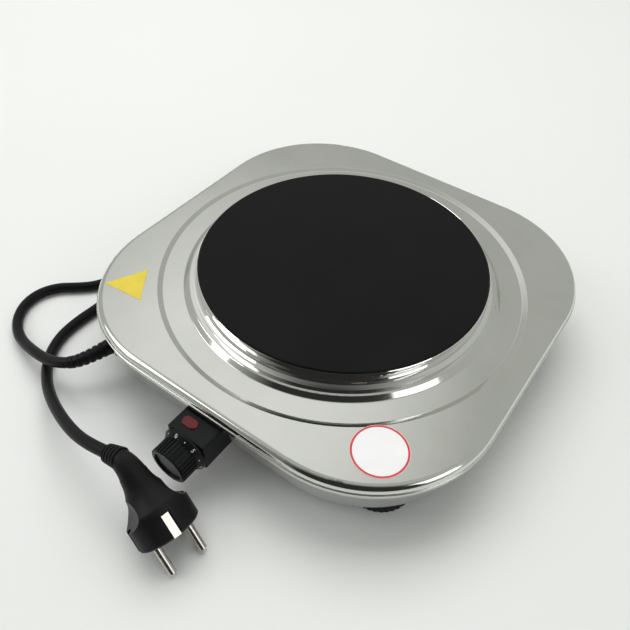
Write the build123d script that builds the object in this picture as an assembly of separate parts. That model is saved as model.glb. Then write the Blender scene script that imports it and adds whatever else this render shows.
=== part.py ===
from build123d import *
import math
import os

# Single electric hot plate: a stamped steel body with a cast-iron plate, a control box and a mains lead.
# Millimetres, +Z up, the control faces -Y. Pieces are drawn with the plate's axis at x = y = 0 and the floor
# at z = 0, then moved back so that the origin is on the floor at the centre of the footprint, control included.

os.makedirs("parts", exist_ok=True)

# ---- driving dimensions ----
# frame
plate_y = 14.8
# body
body_width = 268.0
body_corner = 80.0
sheet = 0.6
pan_floor_z = 13.0
pan_top_z = 40.5
pan_bottom_inset = 6.8
pan_top_inset = 1.6
skirt_bottom_z = 38.0
deck_z = 45.6
deck_edge_radius = 4.0
bead_height = 2.9
bead_depth = 0.6
# dish stamped round the plate
dish_z = 44.2
dish_inner_radius = 115.8
dish_outer_radius = 119.0
lip_z = 47.0
lip_foot_radius = 102.5
lip_crest_radius = 99.2
opening_radius = 93.8
# plate
plate_radius = 92.5
plate_top_z = 58.0
plate_depth = 12.0
plate_dimple_radius = 12.0
ring_flange_radius = 96.5
channel_radii = (38.0, 54.0, 70.0)
channel_half = 4.0
# feet
foot_radius = 20.0
foot_height = 12.0
foot_reach = 89.5
foot_flutes = 36
# control
control_z = 26.0
box_half = 13.2
box_low_z = 16.5
box_top_z = 36.4
box_front_y = -149.0
box_wall = 2.0
box_screw_xs = (-9.9, 9.9)
skirt_back_y = -149.5
skirt_radius = 14.2
knob_radius = 11.3
knob_front_y = -164.2
knob_ribs = 32
shaft_radius = 3.0
running_gap = 0.05
pin_travel = 1.7
# mains lead
cord_radius = 3.5
gland_point = Vector(-85.2, -123.6, 28.0)
gland_direction = Vector(-0.400, -0.898, -0.186)
gland_nose = 6.0
cord_route = [
    (-98.2, -145.4, 21.8), (-108.6, -150.4, 18.5), (-120.5, -151.6, 15.0),
    (-133.0, -150.9, 12.0), (-146.0, -149.0, 8.0), (-159.4, -145.6, 4.8), (-171.6, -138.2, 3.6),
    (-180.0, -126.8, 3.6), (-182.0, -112.8, 3.6), (-176.2, -100.2, 3.6), (-165.4, -91.6, 3.6),
    (-155.6, -82.0, 3.6), (-150.2, -67.6, 3.6), (-149.4, -50.0, 3.6), (-152.2, -30.0, 3.6),
    (-156.8, -8.0, 3.6), (-160.6, 16.0, 3.6), (-163.2, 42.0, 3.6), (-164.4, 68.0, 3.6),
    (-165.0, 92.0, 3.6), (-164.0, 113.0, 3.6), (-158.4, 132.6, 3.6), (-146.8, 149.0, 3.6),
    (-129.4, 158.2, 3.6), (-110.6, 156.4, 3.6), (-97.0, 143.6, 3.6), (-94.4, 126.0, 3.6),
    (-102.6, 110.8, 3.6), (-116.8, 101.4, 3.6), (-130.2, 89.6, 3.6), (-138.8, 73.4, 3.6),
    (-142.0, 53.0, 3.6), (-142.2, 29.0, 3.6), (-141.2, 4.0, 3.6), (-140.6, -21.0, 3.6),
    (-139.6, -46.0, 3.6), (-138.2, -71.0, 3.6), (-138.0, -94.0, 3.6), (-139.4, -114.0, 3.6),
    (-137.0, -132.0, 3.6), (-126.8, -148.2, 4.2), (-109.0, -161.4, 9.3), (-90.0, -170.2, 16.0),
    (-70.0, -176.8, 23.5), (-51.5, -181.0, 30.4),
]
cord_first_run = 9.0
cord_last_run = 13.0
# plug
plug_face = Vector(21.1, -186.0, 13.45)
plug_heading = -11.1
plug_tilt = -39.5
plug_length = 36.0
plug_radius = 17.3
pin_spacing = 19.0
pin_radius = 2.4
pin_length = 19.0
sleeve_end = Vector(-23.5, -180.6, 38.6)
sleeve_rise = 8.1
sleeve_bend = 13.5
sleeve_radii = (7.2, 6.9, 6.5, 6.1, 5.6, 5.2, 4.8, 4.5)

made = {}


def keep(name, shape):
    """Name a finished piece, move it to the object's origin and write it to its file."""
    solids = [Pos(0, plate_y, 0) * solid for solid in shape.solids()]
    shape = solids[0] if len(solids) == 1 else Compound(children=solids)
    shape.label = name
    made[name] = shape
    export_step(shape, f"parts/{name}.step")


def square_at(width, corner, z):
    """A rounded square, level, centred on the plate's axis."""
    return Plane.XY.offset(z) * RectangleRounded(width, width, corner)


def turned(*corners):
    """A ring or disc about the vertical axis from its half section, given as (radius, height) corners."""
    section = make_face(Plane.XZ * Polyline(*corners, close=True))
    return revolve(section, Axis.Z)


def post(radius, z_low, z_high, x=0.0, y=0.0):
    """An upright cylinder between two heights."""
    return Pos(x, y, (z_low + z_high) / 2) * Cylinder(radius, z_high - z_low)


def rod_y(radius, y_low, y_high, x=0.0, z=control_z):
    """A cylinder along Y between two places."""
    return Pos(x, (y_low + y_high) / 2, z) * Rot(90, 0, 0) * Cylinder(radius, y_high - y_low)


def block(x_low, x_high, y_low, y_high, z_low, z_high):
    """A plain block between its limits."""
    size = (x_high - x_low, y_high - y_low, z_high - z_low)
    middle = ((x_low + x_high) / 2, (y_low + y_high) / 2, (z_low + z_high) / 2)
    return Pos(*middle) * Box(*size)


def corners_of(reach):
    """The four places where the feet and the corner brackets stand."""
    return [(sx * reach, sy * reach) for sx in (-1, 1) for sy in (-1, 1)]


def group(solids):
    """Separate solids kept together in one node."""
    return Compound(children=list(solids))


def tube(points, radius):
    """A lead of straight runs joined by arcs as large as the runs allow, with its radii."""
    points = [Vector(*p) if not isinstance(p, Vector) else p for p in points]
    radii = []
    for a, b, c in zip(points, points[1:], points[2:]):
        turn = (b - a).get_angle(c - b)
        run = min((b - a).length, (c - b).length)
        radii.append(0.45 * run / math.tan(math.radians(turn) / 2))
    path = FilletPolyline(*points, radius=radii)
    start = Plane(origin=points[0], z_dir=points[1] - points[0])
    solid = sweep(start * Circle(radius), path=path)
    return solid, radii, path.length


# ---- body ----
def pan_solid(inset=0.0, z_low=pan_floor_z, z_high=pan_top_z):
    """The tapered outside of the pan between two heights, moved in by an inset."""
    height = pan_top_z - pan_floor_z
    slope = (pan_bottom_inset - pan_top_inset) / height

    def ring(z):
        lost = pan_bottom_inset - slope * (z - pan_floor_z) + inset
        return square_at(body_width - 2 * lost, body_corner - lost, z)

    return loft([ring(z_low), ring(z_high)])


def make_shell():
    """The stamped top: deck, rounded edge, short skirt with a bead, dish and raised lip."""
    inner_width = body_width - 2 * sheet
    outside = extrude(square_at(body_width, body_corner, skirt_bottom_z), deck_z - skirt_bottom_z)
    outside = fillet(outside.faces().sort_by(Axis.Z)[-1].edges(), deck_edge_radius)
    inside = extrude(
        square_at(inner_width, body_corner - sheet, skirt_bottom_z - 1), deck_z - sheet - skirt_bottom_z + 1
    )
    inside = fillet(inside.faces().sort_by(Axis.Z)[-1].edges(), deck_edge_radius - sheet)
    hole = post(dish_outer_radius + 0.4, 30, 60)
    # a smooth stamped section: lip, dish and step
    section_top = FilletPolyline(
        (opening_radius, lip_z), (lip_crest_radius, lip_z), (lip_foot_radius, dish_z),
        (dish_inner_radius, dish_z), (dish_outer_radius, deck_z), (dish_outer_radius + 0.4, deck_z),
        radius=[1.8, 1.0, 1.0, 0.35],
    )
    section_low = FilletPolyline(
        (opening_radius, lip_z - sheet), (lip_crest_radius - 0.25, lip_z - sheet),
        (lip_foot_radius - 0.25, dish_z - sheet), (dish_inner_radius + 0.12, dish_z - sheet),
        (dish_outer_radius + 0.12, deck_z - sheet), (dish_outer_radius + 0.4, deck_z - sheet),
        radius=[1.2, 1.2, 1.2, 0.2],
    )
    ends = [
        Line((opening_radius, lip_z), (opening_radius, lip_z - sheet)),
        Line((dish_outer_radius + 0.4, deck_z), (dish_outer_radius + 0.4, deck_z - sheet)),
    ]
    edges = section_top.edges() + section_low.edges() + [e.edge() for e in ends]
    dish = revolve(Plane.XZ * make_face(edges), Axis.Z)
    bead = extrude(
        square_at(body_width + 2 * bead_depth, body_corner + bead_depth, skirt_bottom_z), bead_height
    )
    bead -= extrude(square_at(inner_width, body_corner - sheet, skirt_bottom_z - 1), bead_height + 2)
    outer_edges = [
        e for e in bead.edges() if e.bounding_box().size.X > body_width + 0.5 * bead_depth
        or e.bounding_box().size.Y > body_width + 0.5 * bead_depth
    ]
    rim = bead.faces().sort_by(Axis.Z)
    bead = fillet(
        [e for f in (rim[0], rim[-1]) for e in f.outer_wire().edges()], bead_depth * 0.9
    ) if not outer_edges else bead
    return (outside - inside - hole) + dish + bead


def make_pan(foot_places):
    """The base pan: a tapered tub with vent slots and holes for the feet, gland and control."""
    outside = pan_solid()
    outside = fillet(outside.faces().sort_by(Axis.Z)[0].edges(), 3.0)
    inside = pan_solid(inset=0.7, z_low=pan_floor_z + 0.7, z_high=pan_top_z + 0.5)
    pan = outside - inside
    for x, y in foot_places:
        pan -= post(2.3, 10, 20, x, y)
    for turn in range(0, 360, 30):
        slot = extrude(Plane.XY.offset(10) * Rot(0, 0, turn) * Pos(58, 0) * SlotOverall(34, 4.5), 8)
        pan -= slot
    pan -= rod_y(5.3, -140, -120)
    for x in box_screw_xs:
        pan -= rod_y(1.3, -140, -120, x)
    pan -= gland_cylinder(5.6, -8, 8)
    pan -= post(2.0, 10, 20, *earth_place)
    for y in clamp_screw_ys:
        pan -= post(1.8, 10, 20, clamp_x, y)
    for x in (-52.0, -28.0):
        pan -= post(1.6, 10, 20, x, block_y)
    return pan


def make_bracket(x, y):
    """A folded steel corner bracket, spot-welded under the deck and screwed down to the pan."""
    turn = math.degrees(math.atan2(y, x))
    foot = Pos(0, 0, pan_floor_z + 0.7 + 0.75) * Box(22, 20, 1.5)
    wall = Pos(10.25, 0, (pan_floor_z + 0.7 + deck_z - sheet) / 2) * Box(
        1.5, 20, deck_z - sheet - pan_floor_z - 0.7
    )
    tab = Pos(5.5, 0, deck_z - sheet - 0.75) * Box(11, 20, 1.5)
    boss = post(4.0, pan_floor_z + 2.2, pan_floor_z + 7.2)
    bracket = foot + wall + tab + boss - post(2.0, 10, 24)
    return Pos(x, y, 0) * Rot(0, 0, turn) * bracket


def make_foot(x, y):
    """A turned foot with a fluted rim, a tapered shoulder and a countersunk screw hole."""
    foot = turned(
        (0, 0.0), (foot_radius - 1.0, 0.0), (foot_radius, 1.0), (foot_radius, foot_height - 3.0),
        (foot_radius - 2.0, foot_height), (7.0, foot_height), (7.0, pan_floor_z), (0, pan_floor_z),
    )
    step = 360 / foot_flutes
    cuts = [
        Rot(0, 0, step * k) * post(0.95, -1, pan_floor_z + 1, foot_radius + 0.35) for k in range(foot_flutes)
    ]
    foot -= cuts
    foot -= post(2.3, -1, 14)
    foot -= post(5.0, -1, 4.0)
    return Pos(x, y, 0) * foot


def make_foot_screw(x, y):
    """An M4 pan-head screw up through the foot, the pan and the bracket."""
    return post(4.2, 1.2, 4.0, x, y) + post(2.0, 4.0, 20.0, x, y) - post(1.6, 0.5, 2.4, x, y)


# ---- plate ----
def make_plate():
    """The cast-iron plate: ground top with a shallow centre dimple and ring channels underneath."""
    top, low = plate_top_z, plate_top_z - plate_depth
    plate = turned(
        (0, low + 5.0), (24.0, low + 5.0), (26.0, low), (86.0, low), (86.0, top - 4.0), (91.8, top - 4.0),
        (plate_radius, top - 3.2), (plate_radius, top - 0.7), (plate_radius - 0.7, top), (0, top),
    )
    plate -= turned(
        (0, top - 0.3), (plate_dimple_radius - 5.5, top - 0.3), (plate_dimple_radius, top),
        (plate_dimple_radius, top + 0.1), (0, top + 0.1)
    )
    for radius in channel_radii:
        inner, outer = radius - channel_half, radius + channel_half
        plate -= turned((inner, low - 1), (outer, low - 1), (outer, low + 6), (inner, low + 6))
    plate -= post(3.0, low - 1, low + 9)
    return plate


def make_ring():
    """The polished trim ring: wall round the plate, flare and flange that rests on the body's lip."""
    top, seat = plate_top_z, lip_z
    inner = plate_radius
    return turned(
        (86.0, top - 4.6), (86.0, top - 4.0), (inner - 0.7, top - 4.0), (inner, top - 3.2),
        (inner, top - 0.9), (inner + 0.35, top - 0.6), (inner + 0.7, top - 0.9),
        (inner + 0.7, seat + 3.0), (inner + 1.3, seat + 1.5), (inner + 2.6, seat + 0.75),
        (ring_flange_radius, seat + 0.6), (ring_flange_radius, seat), (inner + 2.0, seat),
        (inner + 0.7, seat + 0.9), (inner + 0.1, seat + 2.2), (inner, top - 4.6),
    )


def make_heater():
    """Three resistance rings and the ceramic that holds them in the plate's channels."""
    low = plate_top_z - plate_depth
    coils, fills = [], []
    for radius in channel_radii:
        coil = Pos(0, 0, low + 3.0) * Torus(radius, 2.0)
        inner, outer = radius - channel_half, radius + channel_half
        fill = turned((inner, low), (outer, low), (outer, low + 6), (inner, low + 6)) - coil
        for angle in (80, 100):
            lead = Rot(0, 0, angle) * post(0.8, low - 3, low + 1.5, radius)
            fill -= lead
        coils.append(coil)
        fills.append(fill)
    return group(coils), group(fills)


def make_shield():
    """The sheet-steel heat shield that closes the plate underneath."""
    low = plate_top_z - plate_depth
    shield = turned(
        (8.0, low - 5.0), (80.0, low - 5.0), (84.0, low), (85.8, low), (85.8, low - 0.5), (84.3, low - 0.5),
        (80.3, low - 5.5), (8.0, low - 5.5),
    )
    for angle in (80, 100):
        for radius in channel_radii:
            shield -= Rot(0, 0, angle) * post(2.0, low - 8, low + 1, radius)
    return shield


# ---- plate fixing ----
bridge_z = 36.5


def make_bridge():
    """The steel bridge across the opening; its turned-up ends bear under the body's lip."""
    bar = block(-104, 104, -10, 10, bridge_z, bridge_z + 2.0)
    rise = lip_z - sheet - bridge_z
    for side in (-1, 1):
        x_low, x_high = sorted((side * 94.6, side * 96.6))
        bar += block(x_low, x_high, -10, 10, bridge_z, bridge_z + rise)
    bar -= block(96.6, 110, -20, 20, 0, 60)
    bar -= block(-110, -96.6, -20, 20, 0, 60)
    bar -= post(3.2, 20, 50)
    bar -= Pos(0, 0, 0) * block(-4, 4, -20, -11, 0, 60)
    return bar


def make_stud():
    """The centre stud, fixed in the plate, with a nut and washer under the bridge."""
    low = plate_top_z - plate_depth
    stud = post(3.0, 27.5, low + 9.0)
    washer = post(8.0, bridge_z - 1.5, bridge_z) - post(3.2, 20, 50)
    nut = extrude(Plane.XY.offset(bridge_z - 6.5) * RegularPolygon(5.6, 6), 5.0) - post(3.0, 20, 50)
    return stud, washer, nut


def make_terminals():
    """The porcelain terminal strip under the shield with its three pins."""
    strip = block(-9, 9, 30, 78, 32.0, 38.5)
    pins = []
    for radius in channel_radii:
        strip -= post(1.5, 30, 40, 0, radius)
        pins.append(post(1.5, 27.0, 40.4, 0, radius))
    strip -= block(-20, 20, 60.5, 63.5, 36.0, 39)
    return strip, group(pins)


# ---- control ----
def make_housing():
    """The control housing: a hollow box with rounded edges, seated on the sloping pan wall."""
    box = block(-box_half, box_half, box_front_y, -120, box_low_z, box_top_z)
    box = fillet(box.edges().filter_by(Axis.Y), 1.4)
    box = fillet(box.faces().sort_by(Axis.Y)[0].edges(), 0.7)
    inner_half = box_half - box_wall
    box -= block(-inner_half, inner_half, box_front_y + box_wall, -118, box_low_z + box_wall, box_top_z - box_wall)
    for x in box_screw_xs:
        box += rod_y(2.2, box_front_y + box_wall, -133, x)
        box -= rod_y(1.1, -146.0, -120, x)
    box -= pan_solid()
    box -= rod_y(shaft_radius + running_gap, -160, -140)
    box -= lens_block(0.0, 30, 40)
    return box


def lens_block(grow, z_low, z_high):
    """The lamp window's outline through the housing's top."""
    outline = SlotOverall(10.4 + grow, 6.6 + grow)
    return extrude(Plane.XY.offset(z_low) * Pos(-3.8, -140.8) * outline, z_high - z_low)


def make_lens():
    """The red lamp window, slightly proud of the housing."""
    lens = lens_block(0.0, box_top_z - box_wall, box_top_z + 0.8)
    lens = fillet(lens.faces().sort_by(Axis.Z)[-1].edges(), 0.7)
    return lens + lens_block(1.4, box_top_z - box_wall - 1.0, box_top_z - box_wall)


def make_knob():
    """The knob: a bevelled dial skirt and a finely ribbed grip with a recessed end."""
    depth = skirt_back_y - knob_front_y
    knob = turned(
        (0, 0), (skirt_radius - 0.4, 0), (skirt_radius, 0.4), (skirt_radius, 1.6), (12.0, 4.3),
        (knob_radius, 4.6), (knob_radius, depth - 0.6), (knob_radius - 0.6, depth),
        (9.4, depth), (9.0, depth - 1.2), (0, depth - 1.2),
    )
    step = 360 / knob_ribs
    for k in range(knob_ribs):
        rib = Pos(0, 0, 4.0 + (depth - 4.6) / 2) * Box(1.6, 1.0, depth - 4.6)
        knob += Rot(0, 0, step * k) * Pos(knob_radius - 0.2, 0, 0) * rib
    knob -= post(shaft_radius, -1, 11.5)
    return Pos(0, skirt_back_y, control_z) * Rot(90, 0, 0) * knob


def make_shaft():
    """The control shaft, with a blind bore at its inner end for the adjusting pin."""
    return rod_y(shaft_radius, -161.0, -115.0) - rod_y(1.55, -119.0, -114.0)


def make_thermostat():
    """The thermostat body: a bushing through the pan wall and an open switch chamber."""
    body = block(-13, 13, -121, -99, 17, 35)
    body += rod_y(5.0, -136.0, -121)
    body -= block(-10, 10, -116, -101.5, 20, 41)
    body -= rod_y(shaft_radius + running_gap, -140, -115)
    return body


def make_thermostat_nut():
    """The hexagon nut that clamps the bushing in the pan wall."""
    nut = extrude(Plane.XZ.offset(131.6) * Pos(0, control_z) * RegularPolygon(7.5, 6), 3.0)
    return nut - rod_y(5.0, -140, -120)


def gland_cylinder(radius, low, high):
    """A cylinder along the gland's axis, from one distance out of the wall to another."""
    middle = gland_point + gland_direction * ((low + high) / 2)
    return Plane(origin=middle, z_dir=gland_direction) * Cylinder(radius, high - low)


def make_gland():
    """The cord gland: a collar against the pan wall, a neck through it and a short tapered nose."""
    collar = gland_cylinder(7.4, -2, 2.0) - pan_solid(z_high=pan_top_z)
    neck = gland_cylinder(5.5, -7, 2.0)
    start = Plane(origin=gland_point + gland_direction * 2.0, z_dir=gland_direction)
    end = Plane(origin=gland_point + gland_direction * gland_nose, z_dir=gland_direction)
    nose = loft([start * Circle(5.2), end * Circle(4.6)])
    return collar + neck + nose - gland_cylinder(cord_radius, -10, 10)


# ---- wiring ----
clamp_x = -56.0
clamp_screw_ys = (-115.0, -97.0)
clamp_low_z = 21.2
block_y = -82.0
earth_place = (-66.0, -56.0)


def make_inner_sheath():
    """The end of the cord's sheath inside the pan, as far as the clamp."""
    start = gland_point + gland_direction * gland_nose
    inner = gland_point - gland_direction * 13.5
    solid, _, _ = tube([start, inner, (-71.0, -105.8, 21.5), (-63.0, -105.9, 17.4), (-49.0, -106.0, 17.3)], cord_radius)
    return solid


def make_wire(points, radius=1.1):
    """A single insulated wire inside the pan."""
    solid, _, _ = tube(points, radius)
    return solid


# ---- plug ----
def plug_place():
    """The plug's own frame: Z along its axis towards the pins, X along the row of pins."""
    heading, tilt = math.radians(plug_heading), math.radians(plug_tilt)
    axis = Vector(
        math.cos(heading) * math.cos(tilt), math.sin(heading) * math.cos(tilt), math.sin(tilt)
    )
    row = Vector(-math.sin(heading), math.cos(heading), 0)
    return Plane(origin=plug_face - axis * plug_length, x_dir=row, z_dir=axis)


def sleeve_corner():
    """The corner of the sleeve's bent axis, straight behind the plug."""
    place = plug_place()
    return place.origin - place.z_dir * sleeve_rise


def make_sleeve():
    """The bent, tapered sleeve between the plug's grip and the cord."""
    place = plug_place()
    inside = place.origin + place.z_dir * 1.0
    path = FilletPolyline(inside, sleeve_corner(), sleeve_end, radius=sleeve_bend)
    bend_axis = (sleeve_corner() - place.origin).cross(sleeve_end - sleeve_corner()).normalized()
    sections = []
    for k, radius in enumerate(sleeve_radii):
        t = k / (len(sleeve_radii) - 1)
        sections.append(Plane(origin=path @ t, x_dir=bend_axis, z_dir=path % t) * Circle(radius))
    return loft(sections)


def make_plug():
    """A straight moulded mains plug: bent sleeve, hollowed grip and round face, with pins and clips."""
    length = plug_length
    waist = Spline(
        (7.4, 0), (8.4, 6), (11.2, 12), (15.2, 17), (plug_radius, 22), tangents=((0.1, 1), (0, 1))
    )
    rest = Polyline(
        (plug_radius, 22), (plug_radius, length - 1), (plug_radius - 1, length), (0, length), (0, 0), (7.4, 0)
    )
    body = revolve(Plane.XZ * make_face(waist.edges() + rest.edges()), Axis.Z)
    pins, clips = [], []
    for side in (-1, 1):
        body -= Pos(side * 20.5, 0, length - 23) * Rot(90, 0, 0) * Cylinder(11, 60)
        body -= Pos(side * (plug_radius + 0.4), 0, length - 7.5) * Box(5.2, 5.0, 17)
        body -= Pos(0, side * (plug_radius + 0.2), length - 6) * Box(5.2, 6.0, 15)
        pin = post(pin_radius, length, length + pin_length - 1.2, side * pin_spacing / 2)
        pin += post(pin_radius - 0.6, length - 14, length, side * pin_spacing / 2)
        pin += Pos(side * pin_spacing / 2, 0, length + pin_length - 1.2) * Cone(
            pin_radius, pin_radius - 1.0, 2.4
        )
        pins.append(pin)
        clip = Pos(0, side * (plug_radius - 2.4), length - 6.2) * Box(4.0, 0.8, 13)
        clip += Pos(0, side * (plug_radius - 3.4), length) * Box(4.0, 2.4, 0.8)
        clips.append(clip)
    for piece in pins + clips:
        body -= piece
    place = plug_place()
    return place * body + make_sleeve(), group([place * p for p in pins]), group([place * c for c in clips])


# ---- labels ----
def make_labels():
    """Two blank adhesive labels on the deck: a triangle and a disc."""
    triangle_corners = [(-113.5, -100.3), (-101.2, -75.5), (-85.4, -97.6)]
    triangle = extrude(
        Plane.XY.offset(deck_z) * make_face(Polyline(*triangle_corners, close=True)), 0.15
    )
    disc = post(15.8, deck_z, deck_z + 0.15, 90.3, -98.9)
    return triangle, disc


# ---- build every piece ----
feet_names = {
    (-1, -1): "foot_front_left", (1, -1): "foot_front_right", (-1, 1): "foot_back_left", (1, 1): "foot_back_right",
}
places = corners_of(foot_reach)

keep("top_shell", make_shell())
keep("base_pan", make_pan(places))
keep("corner_brackets", group([make_bracket(x, y) for x, y in places]))
for x, y in places:
    keep(feet_names[(int(math.copysign(1, x)), int(math.copysign(1, y)))], make_foot(x, y))
keep("foot_screws", group([make_foot_screw(x, y) for x, y in places]))

keep("heating_plate", make_plate())
keep("plate_trim_ring", make_ring())
heater, ceramic = make_heater()
keep("heater_rings", heater)
keep("ceramic_fill", ceramic)
keep("heat_shield", make_shield())
keep("plate_bridge", make_bridge())
stud, washer, nut = make_stud()
keep("plate_stud", stud)
keep("stud_washer", washer)
keep("stud_nut", nut)
strip, pins = make_terminals()
keep("plate_terminal_strip", strip)
keep("plate_terminal_pins", pins)
limiter = post(7.0, 34.0, 40.4, -34.0, 30.0)
keep("thermal_limiter", limiter)

keep("control_housing", make_housing())
keep("lamp_lens", make_lens())
keep("neon_lamp", rod_y(2.3, -146.0, -137.0, -7.0, 30.8))
keep("housing_screws", group([
    rod_y(1.1, -144.0, -127.6, x) + rod_y(2.3, -127.6, -126.0, x) for x in box_screw_xs
]))
keep("knob", make_knob())
keep("control_shaft", make_shaft())
keep("adjusting_pin", rod_y(1.5, -118.6, -108.4))
keep("thermostat_body", make_thermostat())
keep("thermostat_nut", make_thermostat_nut())
keep("contact_spring", block(-4, 4, -106.4, -106.0, 20.0, 34.0))

keep("cord_gland", make_gland())
keep("inner_sheath", make_inner_sheath())
clamp = block(clamp_x - 5, clamp_x + 5, -120, -92, clamp_low_z, clamp_low_z + 3)
for y in clamp_screw_ys:
    clamp -= post(1.8, 10, 30, clamp_x, y)
keep("cord_clamp", clamp)
keep("clamp_screws", group([
    post(1.8, 13.0, 26.0, clamp_x, y) + post(3.4, 11.4, 13.0, clamp_x, y) for y in clamp_screw_ys
]))
terminal_block = block(-58, -22, block_y - 8, block_y + 8, pan_floor_z + 0.7, 28)
for x in (-52.0, -40.0, -28.0):
    terminal_block -= post(2.0, 20, 30, x, block_y)
keep("terminal_block", terminal_block)
keep("terminal_screws", group([post(2.0, 20.0, 27.0, x, block_y) for x in (-52.0, -40.0, -28.0)]))
keep("earth_screw", post(2.0, 11.2, 17.0, *earth_place) + post(4.0, 17.0, 19.0, *earth_place))
keep("live_wire", make_wire([
    (-21.8, block_y, 21), (-15, block_y - 0.5, 21.5), (-7, block_y - 5, 24), (-0.5, block_y - 9, 26), (0, -98.8, 26.4),
]))
keep("heater_wire", make_wire([
    (13.3, -108, 25), (20, -106, 25), (26, -92, 24), (30, -62, 22), (31, -25, 21), (28, 8, 21), (20, 30, 24),
    (10, 37.6, 28.4), (1.7, 38, 28.6),
]))
keep("neutral_wire", make_wire([
    (-40, block_y + 8.2, 21), (-40.4, block_y + 16, 21), (-43, -46, 20), (-45, -12, 20), (-38, 22, 21),
    (-22, 45, 24), (-9, 53.6, 28.4), (-1.7, 54, 28.6),
]))
keep("earth_wire", make_wire([
    (-52, block_y + 8.2, 21), (-52.4, block_y + 13, 21), (-56, -62.5, 20.4), (-62, -57, 20.4), (-66, -56, 20.2),
]))

triangle, disc = make_labels()
keep("triangle_label", triangle)
keep("round_label", disc)

cord_start = gland_point + gland_direction * gland_nose
arrival = (sleeve_corner() - sleeve_end).normalized()
cord_points = [
    cord_start, cord_start + gland_direction * cord_first_run, *cord_route,
    sleeve_end - arrival * cord_last_run, sleeve_end,
]
power_cord, cord_radii, cord_length = tube(cord_points, cord_radius)
keep("power_cord", power_cord)
plug, plug_pins, plug_clips = make_plug()
keep("plug_body", plug)
keep("plug_pins", plug_pins)
keep("plug_earth_clips", plug_clips)

print("cord radii", [round(r, 1) for r in cord_radii])
section = math.pi * cord_radius**2
print("cord length", round(cord_length, 1), "volume ratio", round(power_cord.volume / (section * cord_length), 4))
print("last cord points", [tuple(round(v, 2) for v in p) for p in cord_points[:2] + cord_points[-2:]])
print(len(made), "nodes")
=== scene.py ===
import math

import bpy
from mathutils import Matrix, Vector


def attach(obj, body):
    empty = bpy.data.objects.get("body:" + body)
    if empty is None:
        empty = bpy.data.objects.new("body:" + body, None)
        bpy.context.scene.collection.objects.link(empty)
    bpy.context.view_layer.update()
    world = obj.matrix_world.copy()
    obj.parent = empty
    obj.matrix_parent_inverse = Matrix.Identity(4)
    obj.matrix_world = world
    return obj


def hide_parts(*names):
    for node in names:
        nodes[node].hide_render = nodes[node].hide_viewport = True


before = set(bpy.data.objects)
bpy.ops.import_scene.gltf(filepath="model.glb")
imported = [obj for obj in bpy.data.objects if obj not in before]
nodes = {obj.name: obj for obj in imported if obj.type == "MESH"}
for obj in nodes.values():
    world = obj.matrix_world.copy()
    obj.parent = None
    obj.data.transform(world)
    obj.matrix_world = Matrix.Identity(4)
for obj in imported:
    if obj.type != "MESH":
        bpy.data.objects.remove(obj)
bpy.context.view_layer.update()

print("frame loaded:", len(nodes), "CAD nodes")


def clearSelection():
    if bpy.context.mode != "OBJECT":
        bpy.ops.object.mode_set(mode="OBJECT")
    bpy.ops.object.select_all(action="DESELECT")


def pick(obj):
    clearSelection()
    obj.select_set(True)
    bpy.context.view_layer.objects.active = obj


def settle(obj):
    # leave the place in the mesh, the object at the origin
    pick(obj)
    bpy.ops.object.transform_apply(location=True, rotation=True, scale=True)


camera = {
    "place": (0.15725, -0.24948, 0.33355),
    "turn": (42.897, -1.810, 35.821),
    "lens": 36.694,
    "sensor": 36.0,
}
camData = bpy.data.cameras.new("studioCamera")
camData.lens = camera["lens"]
camData.sensor_width = camera["sensor"]
camData.clip_start = 0.01
cam = bpy.data.objects.new("studioCamera", camData)
cam.location = camera["place"]
cam.rotation_euler = [math.radians(a) for a in camera["turn"]]
bpy.context.scene.collection.objects.link(cam)
bpy.context.scene.camera = cam
print("camera set")


lead = {
    "radius": 0.0035,
    "length": 0.888,
    "route": [
        (-0.0876, -0.1142, 0.0269), (-0.0912, -0.1223, 0.0252), (-0.0982, -0.1306, 0.0218),
        (-0.1086, -0.1356, 0.0185), (-0.1205, -0.1368, 0.0150), (-0.1330, -0.1361, 0.0120),
        (-0.1460, -0.1342, 0.0080), (-0.1594, -0.1308, 0.0048), (-0.1716, -0.1234, 0.0036),
        (-0.1800, -0.1120, 0.0036), (-0.1820, -0.0980, 0.0036), (-0.1762, -0.0854, 0.0036),
        (-0.1654, -0.0768, 0.0036), (-0.1556, -0.0672, 0.0036), (-0.1502, -0.0528, 0.0036),
        (-0.1494, -0.0352, 0.0036), (-0.1522, -0.0152, 0.0036), (-0.1568, 0.0068, 0.0036),
        (-0.1606, 0.0308, 0.0036), (-0.1632, 0.0568, 0.0036), (-0.1644, 0.0828, 0.0036),
        (-0.1650, 0.1068, 0.0036), (-0.1640, 0.1278, 0.0036), (-0.1584, 0.1474, 0.0036),
        (-0.1468, 0.1638, 0.0036), (-0.1294, 0.1730, 0.0036), (-0.1106, 0.1712, 0.0036),
        (-0.0970, 0.1584, 0.0036), (-0.0944, 0.1408, 0.0036), (-0.1026, 0.1256, 0.0036),
        (-0.1168, 0.1162, 0.0036), (-0.1302, 0.1044, 0.0036), (-0.1388, 0.0882, 0.0036),
        (-0.1420, 0.0678, 0.0036), (-0.1422, 0.0438, 0.0036), (-0.1412, 0.0188, 0.0036),
        (-0.1406, -0.0062, 0.0036), (-0.1396, -0.0312, 0.0036), (-0.1382, -0.0562, 0.0036),
        (-0.1380, -0.0792, 0.0036), (-0.1394, -0.0992, 0.0036), (-0.1370, -0.1172, 0.0036),
        (-0.1268, -0.1334, 0.0042), (-0.1090, -0.1466, 0.0093), (-0.0900, -0.1554, 0.0160),
        (-0.0700, -0.1620, 0.0235), (-0.0515, -0.1662, 0.0304), (-0.0360, -0.1671, 0.0354),
        (-0.0235, -0.1658, 0.0386),
    ],
}


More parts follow.
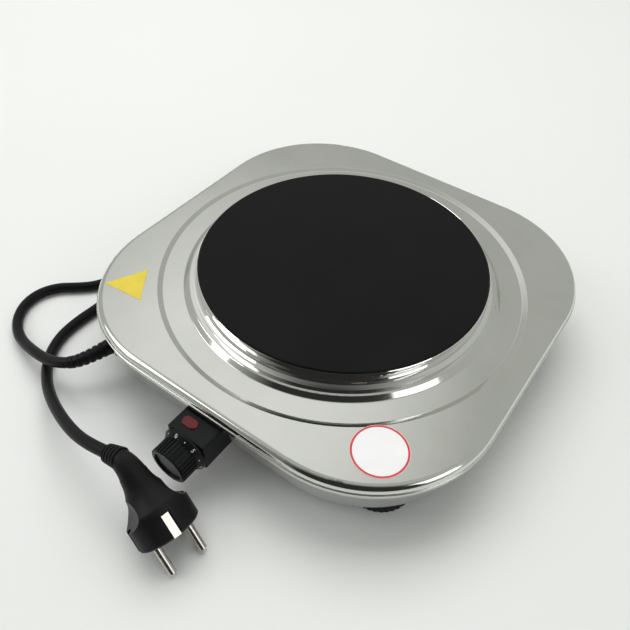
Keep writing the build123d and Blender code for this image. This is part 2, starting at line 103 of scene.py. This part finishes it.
def splineCurve(name, points, radius):
    # one open curve; each point carries the radius
    curve = bpy.data.curves.new(name, "CURVE")
    curve.dimensions = "3D"
    spline = curve.splines.new("NURBS")
    spline.points.add(len(points) - 1)
    for place, point in zip(points, spline.points):
        point.co = (*place, 1.0)
        point.radius = radius
    spline.order_u = 3
    spline.use_endpoint_u = True
    spline.resolution_u = 10
    curve.bevel_depth = 1.0
    curve.bevel_resolution = 6
    curve.use_fill_caps = True
    curve.resolution_u = 10
    obj = bpy.data.objects.new(name, curve)
    bpy.context.scene.collection.objects.link(obj)
    return obj


leadCurve = splineCurve("mainsLead", lead["route"], lead["radius"])
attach(leadCurve, "base")
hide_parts("power_cord")
print("mains lead laid")


def centreLine(curveObj):
    # points along the lead's own line, read from the evaluated curve without its thickness
    bare = curveObj.copy()
    bare.data = curveObj.data.copy()
    bare.data.bevel_depth = 0.0
    bare.data.use_fill_caps = False
    bpy.context.scene.collection.objects.link(bare)
    bpy.context.view_layer.update()
    mesh = bpy.data.meshes.new_from_object(bare.evaluated_get(bpy.context.evaluated_depsgraph_get()))
    line = [v.co.copy() for v in mesh.vertices]
    bpy.data.objects.remove(bare)
    bpy.data.meshes.remove(mesh)
    return line


def along(line, start, stop, steps):
    # evenly spaced points between two lengths from the line's first point
    wanted = [start + (stop - start) * k / (steps - 1) for k in range(steps)]
    found, gone = [], 0.0
    for a, b in zip(line, line[1:]):
        step = (b - a).length
        while wanted and wanted[0] <= gone + step + 1e-9:
            found.append(a.lerp(b, (wanted[0] - gone) / step if step else 0.0))
            wanted.pop(0)
        gone += step
    return found


# each ring has its groove at this part of its step, and the tube's two ends stay plain
ringForm = {"groove": (0.55, 0.95), "ringed": (0.08, 0.95), "edge": 0.0004, "smoothAngle": 40}


def ringedTube(name, points, look):
    # moulded sleeve: tapered, with rings cut round it, along the given points
    data = bpy.data.curves.new(name, "CURVE")
    data.dimensions = "3D"
    spline = data.splines.new("POLY")
    spline.points.add(len(points) - 1)
    for k, (place, point) in enumerate(zip(points, spline.points)):
        t = k / (len(points) - 1)
        ring = (t * look["rings"]) % 1.0
        inGroove = ringForm["groove"][0] < ring < ringForm["groove"][1]
        ringed = ringForm["ringed"][0] < t < ringForm["ringed"][1]
        dip = look["cut"] if inGroove and ringed else 0.0
        edge = ringForm["edge"] if k in (0, len(points) - 1) else 0.0
        point.co = (*place, 1.0)
        point.radius = look["wide"] + (look["narrow"] - look["wide"]) * t - dip - edge
    data.bevel_depth = 1.0
    data.bevel_resolution = 8
    data.use_fill_caps = True
    obj = bpy.data.objects.new(name, data)
    bpy.context.scene.collection.objects.link(obj)
    pick(obj)
    bpy.ops.object.convert(target="MESH")
    bpy.ops.object.shade_smooth_by_angle(angle=math.radians(ringForm["smoothAngle"]))
    return bpy.context.object


relief = {"length": 0.024, "wide": 0.0049, "narrow": 0.0038, "rings": 6, "cut": 0.00055, "steps": 61}
sleeve = {
    "end": lead["route"][-1], "heading": (0.963, 0.101, 0.251), "length": 0.0092,
    "wide": 0.0062, "narrow": 0.0052, "rings": 4, "cut": 0.0007, "steps": 49,
}

leadLine = centreLine(leadCurve)
strainRelief = ringedTube("strainRelief", along(leadLine, 0.0, relief["length"], relief["steps"]), relief)
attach(strainRelief, "base")

sleeveEnd = Vector(sleeve["end"])
sleeveTop = sleeveEnd + Vector(sleeve["heading"]).normalized() * sleeve["length"]
sleevePoints = [sleeveTop.lerp(sleeveEnd, k / (sleeve["steps"] - 1)) for k in range(sleeve["steps"])]
sleeveRings = ringedTube("sleeveRings", sleevePoints, sleeve)
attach(sleeveRings, "base")
print("strain reliefs done")

dial = {
    "centre": (0.0, -0.1347, 0.026), "radius": 0.0131, "depth": 0.00295, "slope": (0.0022, 0.0027),
    "digits": {"0": -12, "5": 43, "4": 104, "3": 165, "2": -134, "1": -73},
    "dots": (16, 74, 135, -164, -103, -42), "height": 0.0034, "dot": 0.00033, "lift": 0.00003,
    "digitPrint": 0.00002, "dotPrint": 0.00005,
}


def onBevel(angle, look):
    # a place on the dial's bevel: right along the rim, up towards the rim, facing out
    turn = math.radians(angle)
    out = Vector((math.sin(turn), 0, math.cos(turn)))
    front = Vector((0, -1, 0))
    rise, run = look["slope"]
    up = (out * rise - front * run).normalized()
    face = (out * run + front * rise).normalized()
    side = up.cross(face)
    place = Vector(look["centre"]) + out * look["radius"] + front * look["depth"] + face * look["lift"]
    return Matrix.Translation(place) @ Matrix((side, up, face)).transposed().to_4x4()


def makeMarks(look):
    # the digits and the dots between them, joined as one printed piece
    parts = []
    for digit, angle in look["digits"].items():
        clearSelection()
        bpy.ops.object.text_add(location=(0, 0, 0))
        text = bpy.context.object
        text.data.body = digit
        text.data.size = look["height"]
        text.data.extrude = look["digitPrint"]
        text.data.align_x = "CENTER"
        text.data.align_y = "CENTER"
        bpy.ops.object.convert(target="MESH")
        text.matrix_world = onBevel(angle, look)
        settle(text)
        parts.append(text)
    for angle in look["dots"]:
        clearSelection()
        bpy.ops.mesh.primitive_cylinder_add(vertices=20, radius=look["dot"], depth=look["dotPrint"])
        dot = bpy.context.object
        dot.matrix_world = onBevel(angle, look)
        settle(dot)
        parts.append(dot)
    clearSelection()
    for part in parts:
        part.select_set(True)
    bpy.context.view_layer.objects.active = parts[0]
    bpy.ops.object.join()
    marks = bpy.context.object
    marks.name = "dialMarks"
    return marks


dialMarks = makeMarks(dial)
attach(dialMarks, "dial")
print("dial marks done")


def startMaterial(name):
    mat = bpy.data.materials.new(name)
    mat.use_nodes = True
    tree = mat.node_tree
    tree.nodes.clear()
    out = tree.nodes.new("ShaderNodeOutputMaterial")
    shader = tree.nodes.new("ShaderNodeBsdfPrincipled")
    tree.links.new(shader.outputs[0], out.inputs[0])
    coord = tree.nodes.new("ShaderNodeTexCoord")
    return mat, tree, shader, coord.outputs["Object"]


def noiseAt(tree, coord, scale, detail=3.0, stretch=(1, 1, 1), rough=0.5, centre=(0, 0, 0)):
    mapping = tree.nodes.new("ShaderNodeMapping")
    mapping.inputs["Scale"].default_value = stretch
    mapping.inputs["Location"].default_value = centre
    tree.links.new(coord, mapping.inputs["Vector"])
    noise = tree.nodes.new("ShaderNodeTexNoise")
    noise.inputs["Scale"].default_value = scale
    noise.inputs["Detail"].default_value = detail
    noise.inputs["Roughness"].default_value = rough
    tree.links.new(mapping.outputs[0], noise.inputs["Vector"])
    return noise.outputs["Fac"]


def spread(tree, value, low, high, fromLow=0.3, fromHigh=0.7):
    span = tree.nodes.new("ShaderNodeMapRange")
    span.inputs["From Min"].default_value = fromLow
    span.inputs["From Max"].default_value = fromHigh
    span.inputs["To Min"].default_value = low
    span.inputs["To Max"].default_value = high
    tree.links.new(value, span.inputs["Value"])
    return span.outputs["Result"]


def tintBetween(tree, value, dark, light):
    mix = tree.nodes.new("ShaderNodeMix")
    mix.data_type = "RGBA"
    mix.inputs[6].default_value = (*dark, 1)
    mix.inputs[7].default_value = (*light, 1)
    tree.links.new(value, mix.inputs[0])
    return mix.outputs[2]


def bumpFrom(tree, value, strength, distance, base=None):
    bump = tree.nodes.new("ShaderNodeBump")
    bump.inputs["Strength"].default_value = strength
    bump.inputs["Distance"].default_value = distance
    tree.links.new(value, bump.inputs["Height"])
    if base is not None:
        tree.links.new(base, bump.inputs["Normal"])
    return bump.outputs[0]


def combine(tree, a, b, how):
    node = tree.nodes.new("ShaderNodeMath")
    node.operation = how
    for socket, value in zip(node.inputs, (a, b)):
        if isinstance(value, (int, float)):
            socket.default_value = value
        else:
            tree.links.new(value, socket)
    return node.outputs[0]


def makeFinish(name, look):
    # soft patches of tint and gloss under a fine grain
    mat, tree, shader, coord = startMaterial(name)
    patches = noiseAt(tree, coord, look["patchSize"], 4.0)
    grain = noiseAt(tree, coord, look["grainSize"], 2.0)
    tint = tintBetween(tree, spread(tree, patches, 0, 1), look["dark"], look["light"])
    tree.links.new(tint, shader.inputs["Base Color"])
    shader.inputs["Metallic"].default_value = look.get("metal", 0.0)
    average = combine(tree, combine(tree, patches, grain, "ADD"), 0.5, "MULTIPLY")
    tree.links.new(spread(tree, average, *look["gloss"], 0.35, 0.65), shader.inputs["Roughness"])
    relievedBy = bumpFrom(tree, grain, look["grainStrength"], look["grainHeight"])
    tree.links.new(relievedBy, shader.inputs["Normal"])
    for socket, value in look.get("extra", {}).items():
        shader.inputs[socket].default_value = value
    return mat


steelLook = {
    "dark": (0.655, 0.665, 0.63), "light": (0.715, 0.722, 0.69), "gloss": (0.07, 0.13),
    "smudgeSize": 22, "smudgeShare": 0.7, "lineShare": 0.3,
    "lineSize": 900, "lineStretch": (1.0, 0.02, 1.0), "lineStrength": 0.06, "lineHeight": 0.00004,
    "hairSize": 260, "hairStretch": (1.0, 0.06, 1.0), "hairSpan": (0.66, 0.72),
    "hairStrength": 0.05, "hairHeight": 0.00003,
}


def makeShellSteel(look):
    # rolled stainless sheet: very fine lines one way, soft smudges, a few hairline scratches
    mat, tree, shader, coord = startMaterial("shellSteel")
    smudge = noiseAt(tree, coord, look["smudgeSize"], 5.0, rough=0.6)
    lines = noiseAt(tree, coord, look["lineSize"], 2.0, look["lineStretch"])
    hairs = noiseAt(tree, coord, look["hairSize"], 3.0, look["hairStretch"], centre=(3, 1, 0))
    tint = tintBetween(tree, spread(tree, smudge, 0, 1), look["dark"], look["light"])
    tree.links.new(tint, shader.inputs["Base Color"])
    shader.inputs["Metallic"].default_value = 1.0
    smudgeWear = combine(tree, smudge, look["smudgeShare"], "MULTIPLY")
    lineWear = combine(tree, lines, look["lineShare"], "MULTIPLY")
    allWear = combine(tree, smudgeWear, lineWear, "ADD")
    tree.links.new(spread(tree, allWear, *look["gloss"], 0.38, 0.62), shader.inputs["Roughness"])
    rolled = bumpFrom(tree, lines, look["lineStrength"], look["lineHeight"])
    scratched = spread(tree, hairs, 0, 1, *look["hairSpan"])
    scratchBump = bumpFrom(tree, scratched, look["hairStrength"], look["hairHeight"], rolled)
    tree.links.new(scratchBump, shader.inputs["Normal"])
    return mat


def makeRoundLabel(look):
    # white film with one plain printed ring
    mat, tree, shader, coord = startMaterial("labelWhite")
    distance = tree.nodes.new("ShaderNodeVectorMath")
    distance.operation = "DISTANCE"
    distance.inputs[1].default_value = look["centre"]
    tree.links.new(coord, distance.inputs[0])
    away = distance.outputs["Value"]
    soft = look["soft"]
    inside = spread(tree, away, 0, 1, look["ring"][0] - soft, look["ring"][0] + soft)
    outside = spread(tree, away, 1, 0, look["ring"][1] - soft, look["ring"][1] + soft)
    patches = noiseAt(tree, coord, 70, 4.0)
    paper = tintBetween(tree, spread(tree, patches, 0, 1), look["paper"], look["faded"])
    mix = tree.nodes.new("ShaderNodeMix")
    mix.data_type = "RGBA"
    mix.inputs[7].default_value = (*look["print"], 1)
    tree.links.new(paper, mix.inputs[6])
    tree.links.new(combine(tree, inside, outside, "MULTIPLY"), mix.inputs[0])
    tree.links.new(mix.outputs[2], shader.inputs["Base Color"])
    tree.links.new(spread(tree, patches, *look["gloss"]), shader.inputs["Roughness"])
    grain = noiseAt(tree, coord, 900, 2.0)
    tree.links.new(bumpFrom(tree, grain, 0.05, 0.00004), shader.inputs["Normal"])
    return mat


finishes = {
    "shellSteel": makeShellSteel(steelLook),
    "panPaint": makeFinish("panPaint", {
        "dark": (0.50, 0.50, 0.49), "light": (0.58, 0.58, 0.57), "metal": 0.85, "gloss": (0.26, 0.38),
        "patchSize": 18, "grainSize": 900, "grainStrength": 0.05, "grainHeight": 0.00005,
    }),
    "zincSteel": makeFinish("zincSteel", {
        "dark": (0.42, 0.42, 0.41), "light": (0.58, 0.58, 0.57), "metal": 1.0, "gloss": (0.3, 0.5),
        "patchSize": 60, "grainSize": 700, "grainStrength": 0.1, "grainHeight": 0.0001,
    }),
    "plateIron": makeFinish("plateIron", {
        "dark": (0.0040, 0.0044, 0.0043), "light": (0.0062, 0.0068, 0.0066), "gloss": (0.46, 0.60),
        "patchSize": 26, "grainSize": 1600, "grainStrength": 0.35, "grainHeight": 0.00012,
        "extra": {"Specular IOR Level": 0.12},
    }),
    "ringChrome": makeFinish("ringChrome", {
        "dark": (0.80, 0.80, 0.79), "light": (0.86, 0.86, 0.85), "metal": 1.0, "gloss": (0.03, 0.07),
        "patchSize": 30, "grainSize": 500, "grainStrength": 0.02, "grainHeight": 0.00004,
    }),
    "footPlastic": makeFinish("footPlastic", {
        "dark": (0.0060, 0.0060, 0.0060), "light": (0.0100, 0.0100, 0.0100), "gloss": (0.42, 0.55),
        "patchSize": 50, "grainSize": 1400, "grainStrength": 0.2, "grainHeight": 0.0001,
        "extra": {"Specular IOR Level": 0.14},
    }),
    "controlPlastic": makeFinish("controlPlastic", {
        "dark": (0.0070, 0.0075, 0.0080), "light": (0.0100, 0.0105, 0.0115), "gloss": (0.28, 0.38),
        "patchSize": 45, "grainSize": 1300, "grainStrength": 0.14, "grainHeight": 0.00008,
        "extra": {"Specular IOR Level": 0.14},
    }),
    "knobPlastic": makeFinish("knobPlastic", {
        "dark": (0.0070, 0.0075, 0.0080), "light": (0.0105, 0.0110, 0.0120), "gloss": (0.27, 0.38),
        "patchSize": 60, "grainSize": 1500, "grainStrength": 0.12, "grainHeight": 0.00006,
        "extra": {"Specular IOR Level": 0.14},
    }),
    "cordRubber": makeFinish("cordRubber", {
        "dark": (0.0060, 0.0060, 0.0065), "light": (0.0090, 0.0090, 0.0095), "gloss": (0.33, 0.45),
        "patchSize": 70, "grainSize": 1500, "grainStrength": 0.12, "grainHeight": 0.00008,
        "extra": {"Specular IOR Level": 0.14},
    }),
    "plugPlastic": makeFinish("plugPlastic", {
        "dark": (0.0070, 0.0070, 0.0075), "light": (0.0120, 0.0120, 0.0125), "gloss": (0.34, 0.48),
        "patchSize": 45, "grainSize": 1300, "grainStrength": 0.2, "grainHeight": 0.0001,
        "extra": {"Specular IOR Level": 0.14},
    }),
    "pinMetal": makeFinish("pinMetal", {
        "dark": (0.55, 0.52, 0.46), "light": (0.68, 0.66, 0.62), "metal": 1.0, "gloss": (0.16, 0.3),
        "patchSize": 160, "grainSize": 900, "grainStrength": 0.06, "grainHeight": 0.00005,
    }),
    "contactBrass": makeFinish("contactBrass", {
        "dark": (0.50, 0.36, 0.14), "light": (0.64, 0.48, 0.22), "metal": 1.0, "gloss": (0.22, 0.36),
        "patchSize": 140, "grainSize": 900, "grainStrength": 0.06, "grainHeight": 0.00005,
    }),
    "ceramic": makeFinish("ceramic", {
        "dark": (0.62, 0.58, 0.50), "light": (0.72, 0.69, 0.62), "gloss": (0.5, 0.7),
        "patchSize": 60, "grainSize": 1200, "grainStrength": 0.3, "grainHeight": 0.0001,
    }),
    "heaterAlloy": makeFinish("heaterAlloy", {
        "dark": (0.20, 0.18, 0.16), "light": (0.33, 0.30, 0.28), "metal": 1.0, "gloss": (0.4, 0.6),
        "patchSize": 80, "grainSize": 900, "grainStrength": 0.1, "grainHeight": 0.0001,
    }),
    "lampRed": makeFinish("lampRed", {
        "dark": (0.070, 0.004, 0.007), "light": (0.105, 0.006, 0.010), "gloss": (0.14, 0.24),
        "patchSize": 120, "grainSize": 800, "grainStrength": 0.04, "grainHeight": 0.00005,
        "extra": {"Specular IOR Level": 0.35},
    }),
    "lampGlass": makeFinish("lampGlass", {
        "dark": (0.8, 0.7, 0.6), "light": (0.9, 0.8, 0.7), "gloss": (0.04, 0.1),
        "patchSize": 120, "grainSize": 800, "grainStrength": 0.02, "grainHeight": 0.00003,
        "extra": {"Transmission Weight": 0.8},
    }),
    "wireBrown": makeFinish("wireBrown", {
        "dark": (0.10, 0.035, 0.015), "light": (0.14, 0.05, 0.02), "gloss": (0.4, 0.5),
        "patchSize": 80, "grainSize": 1000, "grainStrength": 0.1, "grainHeight": 0.00005,
    }),
    "wireBlue": makeFinish("wireBlue", {
        "dark": (0.01, 0.05, 0.25), "light": (0.02, 0.08, 0.34), "gloss": (0.4, 0.5),
        "patchSize": 80, "grainSize": 1000, "grainStrength": 0.1, "grainHeight": 0.00005,
    }),
    "wireGreenYellow": makeFinish("wireGreenYellow", {
        "dark": (0.02, 0.16, 0.03), "light": (0.62, 0.52, 0.03), "gloss": (0.4, 0.5),
        "patchSize": 220, "grainSize": 1000, "grainStrength": 0.1, "grainHeight": 0.00005,
    }),
    "labelYellow": makeFinish("labelYellow", {
        "dark": (0.64, 0.50, 0.035), "light": (0.72, 0.58, 0.05), "gloss": (0.3, 0.42),
        "patchSize": 60, "grainSize": 900, "grainStrength": 0.05, "grainHeight": 0.00004,
    }),
    "labelWhite": makeRoundLabel({
        "centre": (0.0903, -0.0841, 0.0456), "paper": (0.80, 0.79, 0.785), "faded": (0.86, 0.855, 0.85),
        "print": (0.60, 0.035, 0.045), "ring": (0.01445, 0.01565), "soft": 0.0001, "gloss": (0.32, 0.44),
    }),
    "markPaint": makeFinish("markPaint", {
        "dark": (0.74, 0.74, 0.72), "light": (0.82, 0.82, 0.80), "gloss": (0.4, 0.5),
        "patchSize": 200, "grainSize": 1500, "grainStrength": 0.05, "grainHeight": 0.00003,
    }),
}

wornBy = {
    "shellSteel": ["top_shell"],
    "panPaint": ["base_pan"],
    "zincSteel": ["corner_brackets", "foot_screws", "heat_shield", "plate_bridge", "plate_stud", "stud_washer",
                  "stud_nut", "housing_screws", "control_shaft", "clamp_screws", "earth_screw"],
    "plateIron": ["heating_plate"],
    "ringChrome": ["plate_trim_ring"],
    "footPlastic": ["foot_front_left", "foot_front_right", "foot_back_left", "foot_back_right", "cord_clamp"],
    "controlPlastic": ["control_housing"],
    "knobPlastic": ["knob"],
    "cordRubber": ["cord_gland", "inner_sheath", "power_cord"],
    "plugPlastic": ["plug_body"],
    "pinMetal": ["plug_pins", "plug_earth_clips"],
    "contactBrass": ["plate_terminal_pins", "adjusting_pin", "thermostat_nut", "contact_spring",
                     "terminal_screws"],
    "ceramic": ["ceramic_fill", "plate_terminal_strip", "thermal_limiter", "thermostat_body",
                "terminal_block"],
    "heaterAlloy": ["heater_rings"],
    "lampRed": ["lamp_lens"],
    "lampGlass": ["neon_lamp"],
    "wireBrown": ["live_wire", "heater_wire"],
    "wireBlue": ["neutral_wire"],
    "wireGreenYellow": ["earth_wire"],
    "labelYellow": ["triangle_label"],
    "labelWhite": ["round_label"],
}


def wear(obj, finish):
    obj.data.materials.clear()
    obj.data.materials.append(finishes[finish])


for finish, names in wornBy.items():
    for name in names:
        slots = nodes[name].material_slots
        for slot in slots:
            slot.material = finishes[finish]
        if not slots:
            nodes[name].data.materials.append(finishes[finish])
wear(leadCurve, "cordRubber")
wear(strainRelief, "cordRubber")
wear(sleeveRings, "plugPlastic")
wear(dialMarks, "markPaint")
print("finishes:", len(finishes))


stage = {"size": 6.0, "level": -0.0001}
clearSelection()
bpy.ops.mesh.primitive_plane_add(size=stage["size"], location=(0, 0, stage["level"]))
floor = bpy.context.object
floor.name = "floor"
floor.data.materials.append(makeFinish("floorPaper", {
    "dark": (0.77, 0.78, 0.76), "light": (0.80, 0.81, 0.79), "gloss": (0.55, 0.62),
    "patchSize": 1.2, "grainSize": 400, "grainStrength": 0.02, "grainHeight": 0.0001,
}))

lamps = {
    "keyLeft": {"place": (-1.1, -0.7, 1.1), "size": (0.9, 0.9), "power": 5.0, "mirrored": True},
    "keyRight": {"place": (1.4, -0.1, 1.0), "size": (0.7, 0.9), "power": 3.5, "mirrored": True},
    "overhead": {"place": (-0.45, 0.55, 1.5), "size": (1.6, 1.2), "power": 20.0, "mirrored": False},
}
lampTarget = Vector((0, 0, 0.03))
for name, lamp in lamps.items():
    data = bpy.data.lights.new(name, "AREA")
    data.shape = "RECTANGLE"
    data.size, data.size_y = lamp["size"]
    data.energy = lamp["power"]
    light = bpy.data.objects.new(name, data)
    light.visible_glossy = lamp["mirrored"]
    light.location = lamp["place"]
    aim = lampTarget - Vector(lamp["place"])
    light.rotation_euler = aim.to_track_quat("-Z", "Y").to_euler()
    bpy.context.scene.collection.objects.link(light)

room = {
    "walls": (0.98, 1.0, 0.97), "strength": 0.40, "far": (0.50, 0.51, 0.48), "dim": (0.030, 0.031, 0.030),
    "camera": (0.46, -0.77, 0.44), "cameraSpan": (0.50, 0.80),
    "glow": (-0.42, 0.42, 0.80), "glowSpan": (0.935, 0.99), "glowTint": (0.92, 0.93, 0.90),
}


def makeRoom(look):
    # plain pale light for everything matt; the polished metal sees a room with darker parts
    world = bpy.data.worlds.new("softRoom")
    world.use_nodes = True
    tree = world.node_tree
    tree.nodes.clear()
    out = tree.nodes.new("ShaderNodeOutputWorld")
    plain = tree.nodes.new("ShaderNodeBackground")
    plain.inputs[0].default_value = (*look["walls"], 1)
    plain.inputs[1].default_value = look["strength"]
    seen = tree.nodes.new("ShaderNodeBackground")
    seen.inputs[1].default_value = 1.0
    coord = tree.nodes.new("ShaderNodeTexCoord").outputs["Generated"]
    colour = None

    def near(direction, span):
        # how close a direction of the room is to the given one
        towards = tree.nodes.new("ShaderNodeVectorMath")
        towards.operation = "DOT_PRODUCT"
        towards.inputs[1].default_value = Vector(direction).normalized()
        tree.links.new(coord, towards.inputs[0])
        return spread(tree, towards.outputs["Value"], 0, 1, *span)

    layers = [
        (near(look["glow"], look["glowSpan"]), look["glowTint"]),
        (near(look["camera"], look["cameraSpan"]), look["dim"]),
    ]
    for amount, tint in layers:
        mix = tree.nodes.new("ShaderNodeMix")
        mix.data_type = "RGBA"
        if colour is None:
            mix.inputs[6].default_value = (*look["far"], 1)
        else:
            tree.links.new(colour, mix.inputs[6])
        mix.inputs[7].default_value = (*tint, 1)
        tree.links.new(amount, mix.inputs[0])
        colour = mix.outputs[2]
    tree.links.new(colour, seen.inputs[0])
    rays = tree.nodes.new("ShaderNodeLightPath")
    both = tree.nodes.new("ShaderNodeMixShader")
    tree.links.new(rays.outputs["Is Glossy Ray"], both.inputs[0])
    tree.links.new(plain.outputs[0], both.inputs[1])
    tree.links.new(seen.outputs[0], both.inputs[2])
    tree.links.new(both.outputs[0], out.inputs[0])
    return world


world = makeRoom(room)
bpy.context.scene.view_settings.view_transform = "Standard"
bpy.context.scene.world = world
print("studio ready")
